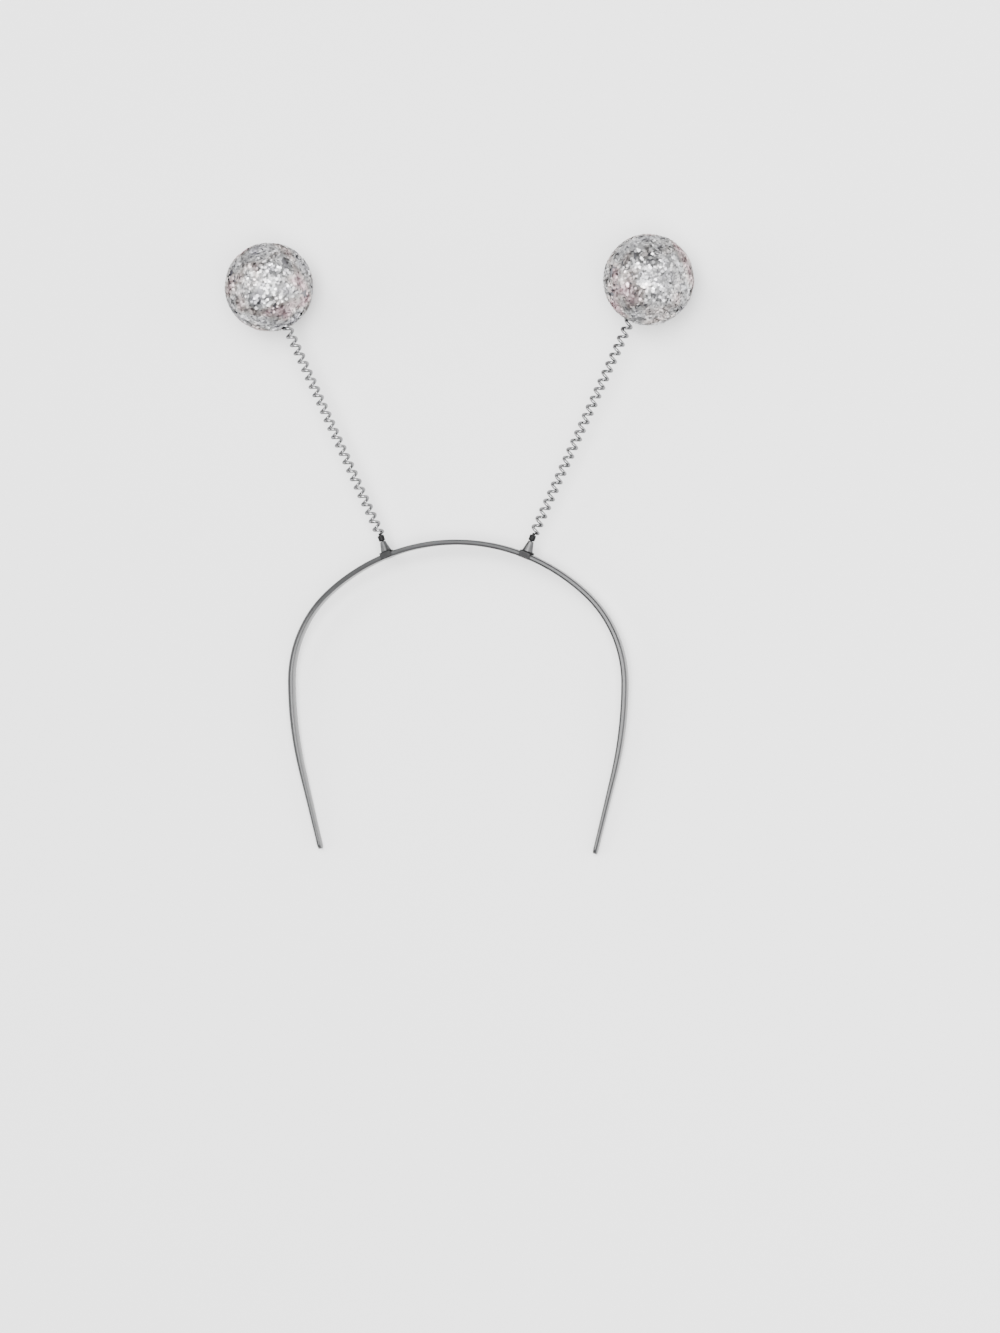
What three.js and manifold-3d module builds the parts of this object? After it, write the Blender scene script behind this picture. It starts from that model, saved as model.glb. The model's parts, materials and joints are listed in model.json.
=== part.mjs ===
// Alien antenna headband: a slim plastic band with two coil springs that carry glitter balls.
// Millimetres, +Z up. The headband lies on its back, as it does on a table: the balls and the two
// tips of the band touch the surface, and the front of the band looks up.
import * as THREE from "three";
import { mergeVertices } from "three/addons/utils/BufferGeometryUtils.js";
import Module from "manifold-3d";

const wasm = await Module();
wasm.setup();

// Clearance between pieces that touch on the real thing
const GAP = 0.3;

// Band: its middle line from the crown down one side, as arcs that follow each other
const BAND_ARCS = [
  { stretch: "crown", radius: 85, sweepDeg: 42 },
  { stretch: "temple", radius: 50, sweepDeg: 48 },
  { stretch: "side", radius: 160, sweepDeg: 14 },
];
const BAND_TIP_STRAIGHT = 34;
const BAND_WIDTH = 5;
const BAND_THICKNESS = 2.3;
const BAND_TIP_WIDTH = 4.2;
const BAND_TIP_THICKNESS = 1.6;
const BAND_TAPER_LENGTH = 60;
const BAND_OUTER_ROUND = 0.95;
const BAND_OUTER_STEPS = 3;
const BAND_INNER_ROUND = 0.35;
const BAND_INNER_STEPS = 1;
const BAND_SEGMENTS = 59;
const BAND_TIP_SEGMENTS = 4;
const BAND_TIP_LAST_SHARE = 0.94;

// Clips: a saddle folded over the band's outside and down both of its edges, with a tapered neck that
// stands square on it
const CLIP_HALF_SPACING = 30.4;
const CLIP_LENGTH = 4.8;
const CLIP_WALL = 0.4;
const CLIP_EDGE_ROUND = 0.5;
const CLIP_EDGE_STEPS = 3;
const NECK_FOOT_RADIUS = 2.3;
const NECK_TOP_RADIUS = 1.2;
const NECK_TOP = 6.3;
const NECK_SINK = 0.4;
const NECK_SIDES = 16;

// Pegs: a black plug in the neck, with a shoulder under the spring and a stub inside it
const PEG_SHANK_RADIUS = 0.5;
const PEG_SHANK_LENGTH = 4.0;
const PEG_SHOULDER_RADIUS = 1.4;
const PEG_SHOULDER_HEIGHT = 2.5;
const PEG_SHOULDER_ROUND = 0.35;
const PEG_STUB_RADIUS = 0.7;
const PEG_STUB_LENGTH = 1.0;
const PEG_SIDES = 14;

// Springs: a quarter turn with a close pitch on the peg, open turns, and the last turns inside the ball.
// They lean out more than the clips do, and their heights start from the top of the peg's shoulder.
const SPRING_LEAN_DEG = 4.15;
const COIL_RADIUS = 1.6;
const WIRE_RADIUS = 0.65;
const CLOSE_PITCH = 2;
const CLOSE_TURNS = 0.25;
const OPEN_PITCH = 3.95;
const START_TURN = 0.25;
const STEPS_PER_TURN = 10;
const WIRE_SIDES = 6;

// Balls: foam spheres with a hole for the end of the spring, in the spring's own heights
const BALL_RADIUS = 19;
const BALL_CENTRE = 117.2;
const SOCKET_DEPTH = 8;
const BALL_SIDES = 24;
const BALL_ROWS = 13;

const radians = THREE.MathUtils.degToRad;
const FULL_TURN = 2 * Math.PI;

const finishes = {
  band: new THREE.MeshStandardMaterial({ color: 0x3c3d40, roughness: 0.3, metalness: 0 }),
  clip: new THREE.MeshStandardMaterial({ color: 0x8b8d90, roughness: 0.35, metalness: 0.9 }),
  peg: new THREE.MeshStandardMaterial({ color: 0x101011, roughness: 0.45, metalness: 0 }),
  spring: new THREE.MeshStandardMaterial({ color: 0xb4b7ba, roughness: 0.22, metalness: 1 }),
  ball: new THREE.MeshStandardMaterial({ color: 0xc2c1c2, roughness: 0.4, metalness: 0.5 }),
};

// Solids for joining and cutting, with corners that lie this close together made one

const MERGE_DISTANCE = 1e-4;

function solidFrom(geometry) {
  const bare = geometry.clone();
  bare.deleteAttribute("normal");
  bare.deleteAttribute("uv");
  const merged = mergeVertices(bare, MERGE_DISTANCE);
  return new wasm.Manifold(
    new wasm.Mesh({
      numProp: 3,
      vertProperties: merged.attributes.position.array,
      triVerts: new Uint32Array(merged.index.array),
    }),
  );
}

function geometryFrom(solid) {
  const mesh = solid.getMesh();
  return new THREE.BufferGeometry()
    .setAttribute("position", new THREE.BufferAttribute(mesh.vertProperties, 3))
    .setIndex(new THREE.BufferAttribute(mesh.triVerts, 1));
}

// Skins a row of rings, each with the same number of points, and closes both ends.
function loft(rings) {
  const count = rings[0].length;
  const points = rings.flat();
  const faces = [];
  for (let ring = 0; ring + 1 < rings.length; ring++) {
    for (let i = 0; i < count; i++) {
      const next = (i + 1) % count;
      const a = ring * count + i;
      const b = ring * count + next;
      faces.push(a, b, b + count, a, b + count, a + count);
    }
  }
  const last = (rings.length - 1) * count;
  for (let i = 1; i + 1 < count; i++) {
    faces.push(0, i + 1, i);
    faces.push(last, last + i, last + i + 1);
  }
  return new THREE.BufferGeometry().setFromPoints(points).setIndex(faces);
}

// A rectangle with rounded corners, as an outline of points. Each corner has its own radius.
function roundedRectangle(width, height, corners) {
  return corners.flatMap(({ x, y, radius, startDeg, steps }) => {
    const centre = new THREE.Vector2(x * (width / 2 - radius), y * (height / 2 - radius));
    return Array.from({ length: steps + 1 }, (_, step) => {
      const angle = radians(startDeg + (90 * step) / steps);
      return new THREE.Vector2(Math.cos(angle), Math.sin(angle)).multiplyScalar(radius).add(centre);
    });
  });
}

// Band

// The band's middle line at a distance from the crown: place, and turn from the level crown.
// The crown is the origin of the worn frame: +X to the right, +Y to the back, +Z up.
function bandStation(distance) {
  const side = Math.sign(distance);
  let left = Math.abs(distance);
  let turn = 0;
  let x = 0;
  let z = 0;
  for (const { radius, sweepDeg } of BAND_ARCS) {
    const swept = Math.min(left / radius, radians(sweepDeg));
    x += radius * (Math.sin(turn + swept) - Math.sin(turn));
    z += radius * (Math.cos(turn + swept) - Math.cos(turn));
    turn += swept;
    left = Math.max(0, left - swept * radius);
  }
  x += left * Math.cos(turn);
  z -= left * Math.sin(turn);
  return { place: new THREE.Vector3(side * x, 0, z), turn: side * turn };
}

const bandHalfLength =
  BAND_ARCS.reduce((sum, arc) => sum + arc.radius * radians(arc.sweepDeg), 0) + BAND_TIP_STRAIGHT;
const tipRound = BAND_TIP_WIDTH / 2;
const tipRoundStart = bandHalfLength - tipRound;

// Width and thickness at a distance from the crown: full, then tapered, then rounded off at the tip.
function bandSize(distance) {
  const reach = Math.abs(distance);
  const taper = THREE.MathUtils.smoothstep(reach, tipRoundStart - BAND_TAPER_LENGTH, tipRoundStart);
  const past = Math.max(0, reach - tipRoundStart);
  const ending = Math.sqrt(1 - (past / tipRound) ** 2);
  return {
    width: THREE.MathUtils.lerp(BAND_WIDTH, BAND_TIP_WIDTH, taper) * ending,
    thickness: THREE.MathUtils.lerp(BAND_THICKNESS, BAND_TIP_THICKNESS, taper),
  };
}

// The band's outline at one station: flat inside, rounded outside.
function bandRing(distance) {
  const { place, turn } = bandStation(distance);
  const { width, thickness } = bandSize(distance);
  const outer = Math.min(BAND_OUTER_ROUND, width / 3);
  const inner = Math.min(BAND_INNER_ROUND, width / 6);
  const outline = roundedRectangle(width, thickness, [
    { x: 1, y: 1, radius: outer, startDeg: 0, steps: BAND_OUTER_STEPS },
    { x: -1, y: 1, radius: outer, startDeg: 90, steps: BAND_OUTER_STEPS },
    { x: -1, y: -1, radius: inner, startDeg: 180, steps: BAND_INNER_STEPS },
    { x: 1, y: -1, radius: inner, startDeg: 270, steps: BAND_INNER_STEPS },
  ]);
  return outline.map((p) =>
    new THREE.Vector3(0, p.x, p.y).applyAxisAngle(new THREE.Vector3(0, 1, 0), turn).add(place),
  );
}

function headband() {
  const distances = [];
  for (let i = 0; i <= BAND_SEGMENTS; i++) {
    distances.push(THREE.MathUtils.lerp(-tipRoundStart, tipRoundStart, i / BAND_SEGMENTS));
  }
  for (let i = 1; i <= BAND_TIP_SEGMENTS; i++) {
    const reach = Math.sin((i / BAND_TIP_SEGMENTS) * Math.asin(BAND_TIP_LAST_SHARE));
    distances.push(tipRoundStart + tipRound * reach);
    distances.unshift(-tipRoundStart - tipRound * reach);
  }
  const mesh = new THREE.Mesh(loft(distances.map(bandRing)), finishes.band);
  mesh.name = "headband";
  return mesh;
}

// Clip and peg, made upright on +Z with the band's middle line at the origin

// A saddle that is open on the inside of the band, joined to a neck with a hole for the peg.
function clipGeometry() {
  const slotWidth = BAND_WIDTH + 2 * GAP;
  const slotHeight = BAND_THICKNESS + 2 * GAP;
  const block = (width, height, length, radius, middle) => {
    const outline = roundedRectangle(
      width,
      height,
      [0, 90, 180, 270].map((startDeg) => ({
        x: startDeg === 0 || startDeg === 270 ? 1 : -1,
        y: startDeg < 180 ? 1 : -1,
        radius,
        startDeg,
        steps: CLIP_EDGE_STEPS,
      })),
    );
    const ring = (x) => outline.map((p) => new THREE.Vector3(x, p.x, middle + p.y));
    return solidFrom(loft([ring(-length / 2), ring(length / 2)]));
  };
  const saddleWidth = slotWidth + 2 * CLIP_WALL;
  const saddleHeight = slotHeight + 2 * CLIP_WALL;
  const saddle = block(saddleWidth, saddleHeight, CLIP_LENGTH, CLIP_EDGE_ROUND, 0);
  const slot = block(slotWidth, slotHeight, 2 * CLIP_LENGTH, GAP, 0);
  const openMiddle = -(BAND_THICKNESS + saddleHeight) / 2;
  const openSide = block(2 * saddleWidth, saddleHeight, 2 * CLIP_LENGTH, GAP, openMiddle);
  const neckFoot = slotHeight / 2 + CLIP_WALL - NECK_SINK;
  const neckHeight = NECK_TOP - neckFoot;
  const neck = new THREE.CylinderGeometry(NECK_TOP_RADIUS, NECK_FOOT_RADIUS, neckHeight, NECK_SIDES)
    .rotateX(Math.PI / 2)
    .translate(0, 0, neckFoot + neckHeight / 2);
  const boreRadius = PEG_SHANK_RADIUS + GAP;
  const boreDepth = PEG_SHANK_LENGTH + GAP;
  const bore = new THREE.CylinderGeometry(boreRadius, boreRadius, 2 * boreDepth, PEG_SIDES)
    .rotateX(Math.PI / 2)
    .translate(0, 0, NECK_TOP);
  return geometryFrom(
    saddle.add(solidFrom(neck)).subtract(solidFrom(bore)).subtract(slot).subtract(openSide),
  );
}

// Turns a profile of [radius, height] rows, from the bottom of the axis to its top, about +Z.
function turned(profile, sides) {
  const rows = profile.map(([radius, height]) => new THREE.Vector2(radius, height));
  return new THREE.LatheGeometry(rows, sides).rotateX(Math.PI / 2);
}

const shoulderFoot = NECK_TOP + GAP;
const shoulderTop = shoulderFoot + PEG_SHOULDER_HEIGHT;

function pegGeometry() {
  return turned(
    [
      [0, NECK_TOP - PEG_SHANK_LENGTH],
      [PEG_SHANK_RADIUS, NECK_TOP - PEG_SHANK_LENGTH],
      [PEG_SHANK_RADIUS, shoulderFoot],
      [PEG_SHOULDER_RADIUS, shoulderFoot],
      [PEG_SHOULDER_RADIUS, shoulderTop - PEG_SHOULDER_ROUND],
      [PEG_SHOULDER_RADIUS - PEG_SHOULDER_ROUND, shoulderTop],
      [PEG_STUB_RADIUS, shoulderTop],
      [PEG_STUB_RADIUS, shoulderTop + PEG_STUB_LENGTH - PEG_SHOULDER_ROUND],
      [PEG_STUB_RADIUS - PEG_SHOULDER_ROUND, shoulderTop + PEG_STUB_LENGTH],
      [0, shoulderTop + PEG_STUB_LENGTH],
    ],
    PEG_SIDES,
  );
}

// Spring and ball, made upright on +Z with the top of the peg's shoulder at the origin

const springFoot = GAP + WIRE_RADIUS;
const springTop = BALL_CENTRE - BALL_RADIUS + SOCKET_DEPTH - GAP - WIRE_RADIUS;
const openTurns = (springTop - springFoot - CLOSE_TURNS * CLOSE_PITCH) / OPEN_PITCH;

// The spring's wire: it starts behind the peg, and seen from the front it runs down from left to right.
class CoilCurve extends THREE.Curve {
  getPoint(share, target = new THREE.Vector3()) {
    const turns = share * (CLOSE_TURNS + openTurns);
    const height =
      springFoot + Math.min(turns, CLOSE_TURNS) * CLOSE_PITCH + Math.max(0, turns - CLOSE_TURNS) * OPEN_PITCH;
    const angle = (START_TURN - turns) * FULL_TURN;
    return target.set(COIL_RADIUS * Math.cos(angle), COIL_RADIUS * Math.sin(angle), height);
  }
}

function springGeometry() {
  const wire = new THREE.Shape().absarc(0, 0, WIRE_RADIUS, 0, FULL_TURN);
  return new THREE.ExtrudeGeometry(wire, {
    extrudePath: new CoilCurve(),
    steps: Math.round((CLOSE_TURNS + openTurns) * STEPS_PER_TURN),
    curveSegments: WIRE_SIDES / 2,
  });
}

function ballGeometry() {
  const socketRadius = COIL_RADIUS + WIRE_RADIUS + GAP;
  const foot = BALL_CENTRE - BALL_RADIUS;
  const mouthAngle = Math.asin(socketRadius / BALL_RADIUS);
  const skin = Array.from({ length: BALL_ROWS + 1 }, (_, row) => {
    const angle = THREE.MathUtils.lerp(mouthAngle, Math.PI, row / BALL_ROWS);
    return [row < BALL_ROWS ? BALL_RADIUS * Math.sin(angle) : 0, BALL_CENTRE - BALL_RADIUS * Math.cos(angle)];
  });
  return turned([[0, foot + SOCKET_DEPTH], [socketRadius, foot + SOCKET_DEPTH], ...skin], BALL_SIDES);
}

// Where a clip stands on the band's crown arc, left of the middle or right
const clipTurn = Math.asin(CLIP_HALF_SPACING / BAND_ARCS[0].radius);
const springLean = radians(SPRING_LEAN_DEG);

function antenna(label, side) {
  const piece = (kind, geometry) => {
    const mesh = new THREE.Mesh(geometry, finishes[kind]);
    mesh.name = `${kind}_${label}`;
    return mesh;
  };
  const { place, turn } = bandStation(side * clipTurn * BAND_ARCS[0].radius);
  const stand = new THREE.Group();
  stand.position.copy(place);
  stand.rotation.y = turn;
  const sprung = new THREE.Group();
  sprung.position.z = shoulderTop;
  sprung.rotation.y = side * springLean;
  sprung.add(piece("spring", springGeometry()), piece("ball", ballGeometry()));
  stand.add(piece("clip", clipGeometry()), piece("peg", pegGeometry()), sprung);
  return stand;
}

// The whole headpiece in the worn frame, then laid on its back with balls and tips on the surface

const worn = new THREE.Group();
worn.add(headband(), antenna("left", -1), antenna("right", 1));

const clipPlace = bandStation(clipTurn * BAND_ARCS[0].radius).place;
const ballHeight =
  clipPlace.z + shoulderTop * Math.cos(clipTurn) + BALL_CENTRE * Math.cos(clipTurn + springLean);
const tipHeight = bandStation(tipRoundStart).place.z;
const restTilt = Math.asin((BALL_RADIUS - tipRound) / (ballHeight - tipHeight));
worn.rotation.x = restTilt - Math.PI / 2;

const box = new THREE.Box3().setFromObject(worn, true);
const middle = box.getCenter(new THREE.Vector3());
worn.position.set(-middle.x, -middle.y, -box.min.z);

const headpiece = new THREE.Group();
headpiece.add(worn);

export default headpiece;
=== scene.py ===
# %% [markdown]
# # Alien antenna headband
#
# This lesson dresses a party headband: a slim plastic band with two metal clips, two open coil springs
# and two balls coated in silver glitter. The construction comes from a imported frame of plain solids, which
# fixes every size and place. Blender adds the fine shapes and the finishes around it.

# %% Load the frame
import json
import math

import bmesh
import bpy
from mathutils import Matrix, Vector


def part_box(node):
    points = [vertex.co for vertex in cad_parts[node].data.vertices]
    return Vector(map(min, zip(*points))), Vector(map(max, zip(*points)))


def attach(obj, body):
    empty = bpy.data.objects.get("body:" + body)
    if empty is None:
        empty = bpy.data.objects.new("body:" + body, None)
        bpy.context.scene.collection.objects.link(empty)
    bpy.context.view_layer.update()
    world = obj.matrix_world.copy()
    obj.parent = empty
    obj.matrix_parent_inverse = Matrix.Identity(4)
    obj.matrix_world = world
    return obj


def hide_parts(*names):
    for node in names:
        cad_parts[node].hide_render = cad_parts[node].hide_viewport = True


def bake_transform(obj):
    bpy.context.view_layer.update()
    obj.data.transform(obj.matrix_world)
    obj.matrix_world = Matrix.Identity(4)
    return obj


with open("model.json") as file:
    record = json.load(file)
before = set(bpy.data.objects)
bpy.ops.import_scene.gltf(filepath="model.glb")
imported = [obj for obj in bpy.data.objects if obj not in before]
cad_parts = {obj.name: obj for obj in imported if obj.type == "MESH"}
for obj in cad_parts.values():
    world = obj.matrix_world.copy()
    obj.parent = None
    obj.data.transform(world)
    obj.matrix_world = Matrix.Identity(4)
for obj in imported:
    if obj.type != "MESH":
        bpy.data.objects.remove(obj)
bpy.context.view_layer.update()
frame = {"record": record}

# %% [markdown]
# ## The worn frame
#
# The headband lies on its back, a little tilted, with its balls and its two tips on the floor. Its shapes
# are easier to write as it is worn: upright, in millimetres, with the crown of the band at the origin, +X
# to the right, +Y to the back and +Z up. One matrix takes such a point to its place on the floor. The
# frame's own seat on the inside of the crown says where that is and which way is up.

# %% One matrix from worn millimetres to metres on the floor
MILLIMETRE = 0.001
BAND_THICKNESS = 2.3

seat = next(mount for mount in frame["record"]["mounts"] if mount["name"] == "crown_seat")
right = Vector((1, 0, 0))
up = -Vector(seat["axis"])
back = up.cross(right)
crown = Vector((0, *seat["pos_m"][1:])) + up * (BAND_THICKNESS / 2) * MILLIMETRE
lying = Matrix((right, back, up)).transposed()
worn = Matrix.Translation(crown) @ lying.to_4x4() @ Matrix.Scale(MILLIMETRE, 4)
print("tilt of the lying band in degrees:", round(math.degrees(math.asin(up.z)), 2))

# %% [markdown]
# Each side of the headband has two frames of its own. In the clip's frame the origin lies on the middle
# line of the band and +Z stands square on it: the clip and the peg are made there. The spring's frame
# starts at the top of the peg and leans out a little more: the spring and the ball are made in it. The two
# sides differ only in a sign.

# %% Frames of the clips and of the springs
SIDES = {"left": -1, "right": 1}
CROWN_RADIUS = 85
CLIP_HALF_SPACING = 30.4
PEG_TOP = 9.1
SPRING_LEAN = math.radians(4.15)
BALL_CENTRE = 117.2

clip_turn = math.asin(CLIP_HALF_SPACING / CROWN_RADIUS)
clip_frames = {}
spring_frames = {}
for label, side in SIDES.items():
    foot = Vector((side * CLIP_HALF_SPACING, 0, CROWN_RADIUS * (math.cos(clip_turn) - 1)))
    clip_frames[label] = worn @ Matrix.Translation(foot) @ Matrix.Rotation(side * clip_turn, 4, "Y")
    lean = Matrix.Translation((0, 0, PEG_TOP)) @ Matrix.Rotation(side * SPRING_LEAN, 4, "Y")
    spring_frames[label] = clip_frames[label] @ lean
    low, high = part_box(f"ball_{label}")
    offset = spring_frames[label] @ Vector((0, 0, BALL_CENTRE)) - (Vector(low) + Vector(high)) / 2
    print(f"ball_{label}: the frame and the solid agree within {offset.length / MILLIMETRE:.2f} mm")

# %% [markdown]
# ## The camera
#
# The photograph looks at the headband almost straight from the front, a little from its right. The same
# view of the lying headband comes from high above the floor. The camera stands well back with a long lens,
# and the aim point is the place in the worn frame that falls in the middle of the picture.

# %% Camera at the photograph's angle
IMAGE_HEIGHT = 1333
CAMERA_YAW = math.radians(15.9)
CAMERA_ELEVATION = math.radians(1.3)
CAMERA_DISTANCE = 1800
CAMERA_AIM = Vector((19.1, 0, -52.4))
FOCAL_PIXELS = 4274
SENSOR_HEIGHT = 36

to_camera = Vector((
    math.sin(CAMERA_YAW) * math.cos(CAMERA_ELEVATION),
    -math.cos(CAMERA_YAW) * math.cos(CAMERA_ELEVATION),
    math.sin(CAMERA_ELEVATION),
))
sideways = Vector((0, 0, 1)).cross(to_camera).normalized()
upwards = to_camera.cross(sideways)
camera = bpy.data.objects.new("camera", bpy.data.cameras.new("camera"))
camera.data.sensor_fit = "VERTICAL"
camera.data.sensor_height = SENSOR_HEIGHT
camera.data.lens = FOCAL_PIXELS / IMAGE_HEIGHT * SENSOR_HEIGHT
turn = lying @ Matrix((sideways, upwards, to_camera)).transposed()
camera_place = worn @ (CAMERA_AIM + to_camera * CAMERA_DISTANCE)
camera.matrix_world = Matrix.Translation(camera_place) @ turn.to_4x4()
bpy.context.collection.objects.link(camera)
bpy.context.scene.camera = camera
print("lens in millimetres:", round(camera.data.lens, 1), "camera at", [round(v, 3) for v in camera_place])

# %% [markdown]
# ## Node maths as Python
#
# Materials and Geometry Nodes are both trees of nodes. Wiring them by hand hides the idea behind the
# wiring, so one small class wraps an output socket. A sum of two wrapped sockets adds a Math node, and
# every other node comes from one method, which takes the node's type, its settings and what goes into its
# sockets.


# %% A socket that can be used in an expression
class Field:
    """An output socket of a node tree. Arithmetic on it adds Math nodes to the tree."""

    def __init__(self, tree, socket=None):
        self.tree = tree
        self.socket = socket

    def node(self, kind, settings=None, inputs=None, output=0):
        """Adds a node: first its settings, then the values or links of its sockets."""
        node = self.tree.nodes.new(kind)
        for name, value in (settings or {}).items():
            if name == "stops":
                self.set_stops(node.color_ramp.elements, value)
            else:
                setattr(node, name, value)
        for name, value in (inputs or {}).items():
            if isinstance(value, Field):
                self.tree.links.new(value.socket, node.inputs[name])
            else:
                node.inputs[name].default_value = value
        return Field(self.tree, node.outputs[output])

    @staticmethod
    def set_stops(elements, stops):
        """Gives a colour ramp its stops, as rows of position and colour."""
        while len(elements) < len(stops):
            elements.new(1.0)
        for element, (position, colour) in zip(elements, stops):
            element.position = position
            element.color = (*colour, 1)

    def math(self, operation, *values):
        return self.node("ShaderNodeMath", {"operation": operation}, dict(enumerate(values)))

    def __add__(self, other):
        return self.math("ADD", self, other)

    __radd__ = __add__

    def __sub__(self, other):
        return self.math("SUBTRACT", self, other)

    def __rsub__(self, other):
        return self.math("SUBTRACT", other, self)

    def __mul__(self, other):
        return self.math("MULTIPLY", self, other)

    __rmul__ = __mul__

    def __truediv__(self, other):
        return self.math("DIVIDE", self, other)

    def __rtruediv__(self, other):
        return self.math("DIVIDE", other, self)


print("operators ready: add, subtract, multiply, divide")

# %% [markdown]
# Every finish is one Principled shader. What is the same all over a surface is set on the shader's socket.
# What changes over the surface is a field: noise in object coordinates, or an attribute that the mesh
# carries.


# %% Helpers for finishes
def new_finish(name, **constants):
    """A material with one Principled shader. Returns the material, its shader and a field to build with."""
    material = bpy.data.materials.new(name)
    material.use_nodes = True
    shader = material.node_tree.nodes["Principled BSDF"]
    for socket, value in constants.items():
        shader.inputs[socket.replace("_", " ")].default_value = value
    return material, shader, Field(material.node_tree)


def feed(shader, socket, field):
    """Links a field to a socket of the shader."""
    field.tree.links.new(field.socket, shader.inputs[socket])


def noise(draw, per_metre, detail=2.0, roughness=0.5):
    """Noise from 0 to 1 in object coordinates, with so many features to the metre."""
    place = draw.node("ShaderNodeTexCoord", output="Object")
    inputs = {"Vector": place, "Scale": per_metre, "Detail": detail, "Roughness": roughness}
    return draw.node("ShaderNodeTexNoise", inputs=inputs)


def between(share, least, most):
    """Runs from the least number to the most as share goes from 0 to 1."""
    return least + (most - least) * share


def two_colours(draw, share, first, second):
    """Runs from the first colour to the second as share goes from 0 to 1."""
    inputs = {0: share, 6: first, 7: second}
    return draw.node("ShaderNodeMix", {"data_type": "RGBA"}, inputs, output=2)


def bump(draw, height, depth):
    """A normal from a height field: depth is the height in metres of a full step from 0 to 1."""
    inputs = {"Height": height, "Distance": depth, "Strength": 1.0}
    return draw.node("ShaderNodeBump", inputs=inputs, output="Normal")


print("helpers for finishes ready")

# %% [markdown]
# ## Floor and light
#
# The stage is a plain pale floor under soft studio light. The floor lies a hair below the part, so that the
# two never share a plane.

# %% Floor
FLOOR_SIZE = 8.0
FLOOR_DROP = 0.0003
FLOOR_GREYS = ((0.86, 0.86, 0.86, 1), (0.9, 0.9, 0.9, 1))

floor_paint, floor_shader, draw = new_finish("floor_paint", Roughness=0.6)
feed(floor_shader, "Base Color", two_colours(draw, noise(draw, per_metre=3), *FLOOR_GREYS))
half = FLOOR_SIZE / 2
floor_corners = [(x * half, y * half, -FLOOR_DROP) for x, y in ((-1, -1), (1, -1), (1, 1), (-1, 1))]
floor_mesh = bpy.data.meshes.new("floor")
floor_mesh.from_pydata(floor_corners, [], [(0, 1, 2, 3)])
floor_mesh.materials.append(floor_paint)
floor = bpy.data.objects.new("floor", floor_mesh)
bpy.context.collection.objects.link(floor)
print("floor of", FLOOR_SIZE, "m")

# %% [markdown]
# A large panel over the camera gives the front light of the photograph, and a wider, weaker one above it
# lights the rest of the floor. Two panels at the sides brighten the edges of the balls, and a small one past
# the balls adds glints. The world is dim, so the gaps between the panels stay dark: they give the gloss of
# the band its shape and the glitter its grey facets.

# %% Lights
WORLD_RADIANCE = 0.24
WATTS_PER_RADIANCE = 4

# Rows of name, place and size in metres, and radiance
PANELS = (
    ("front_panel", (0.5, 0.1, 2.4), (2.3, 1.5), 10.5),
    ("wide_panel", (0.1, 0.1, 2.6), (5.6, 1.3), 3.2),
    ("left_panel", (-2.2, 0.0, 1.2), (1.6, 1.6), 3.8),
    ("right_panel", (2.2, 0.0, 1.2), (1.6, 1.6), 3.5),
    ("key_panel", (-0.75, 1.3, 1.35), (0.4, 0.4), 10.0),
)

world = bpy.data.worlds.new("studio")
world.use_nodes = True
background = world.node_tree.nodes["Background"]
background.inputs["Color"].default_value = (1, 1, 1, 1)
background.inputs["Strength"].default_value = WORLD_RADIANCE
bpy.context.scene.world = world
for name, place, (width, height), radiance in PANELS:
    panel = bpy.data.lights.new(name, "AREA")
    panel.shape = "RECTANGLE"
    panel.size = width
    panel.size_y = height
    panel.energy = WATTS_PER_RADIANCE * radiance * width * height
    lamp = bpy.data.objects.new(name, panel)
    lamp.location = place
    lamp.rotation_euler = (-Vector(place)).to_track_quat("-Z", "Y").to_euler()
    bpy.context.collection.objects.link(lamp)
    print(f"{name}: {panel.energy:.0f} W")

# %% [markdown]
# ## From outlines to meshes
#
# Most pieces are either a row of rings that are skinned, such as the band, or a profile that is turned about
# an axis, such as a peg. Two helpers make them in worn millimetres, and another puts a finished mesh on the
# floor as the piece that stands for a solid of the frame.


# %% Helpers for meshes
def finished(shape):
    """Turns the faces outwards and makes a mesh."""
    bmesh.ops.recalc_face_normals(shape, faces=shape.faces)
    mesh = bpy.data.meshes.new("shape")
    shape.to_mesh(mesh)
    shape.free()
    return mesh


def skinned(rings):
    """A closed mesh through rings with the same number of points each, flat at both ends."""
    shape = bmesh.new()
    rows = [[shape.verts.new(point) for point in ring] for ring in rings]
    for row, following in zip(rows, rows[1:]):
        for i in range(len(row)):
            shape.faces.new((row[i - 1], row[i], following[i], following[i - 1]))
    shape.faces.new(rows[0])
    shape.faces.new(rows[-1])
    return finished(shape)


def turned(profile, sides):
    """A closed mesh from rows of radius and height, from the foot of the axis to its top."""
    shape = bmesh.new()
    rows = []
    for radius, height in profile:
        count = sides if radius > 0 else 1
        angles = [math.tau * i / count for i in range(count)]
        rows.append([shape.verts.new((radius * math.cos(a), radius * math.sin(a), height)) for a in angles])
    for row, following in zip(rows, rows[1:]):
        for i in range(sides):
            corners = [row[(i - 1) % len(row)], row[i % len(row)]]
            corners += [following[i % len(following)], following[(i - 1) % len(following)]]
            shape.faces.new(list(dict.fromkeys(corners)))
    return finished(shape)


def arc(centre, radius, first, last, steps):
    """Points on an arc, with its angles in degrees."""
    angles = [math.radians(first + (last - first) * i / steps) for i in range(steps + 1)]
    return [(centre[0] + radius * math.cos(a), centre[1] + radius * math.sin(a)) for a in angles]


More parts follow.
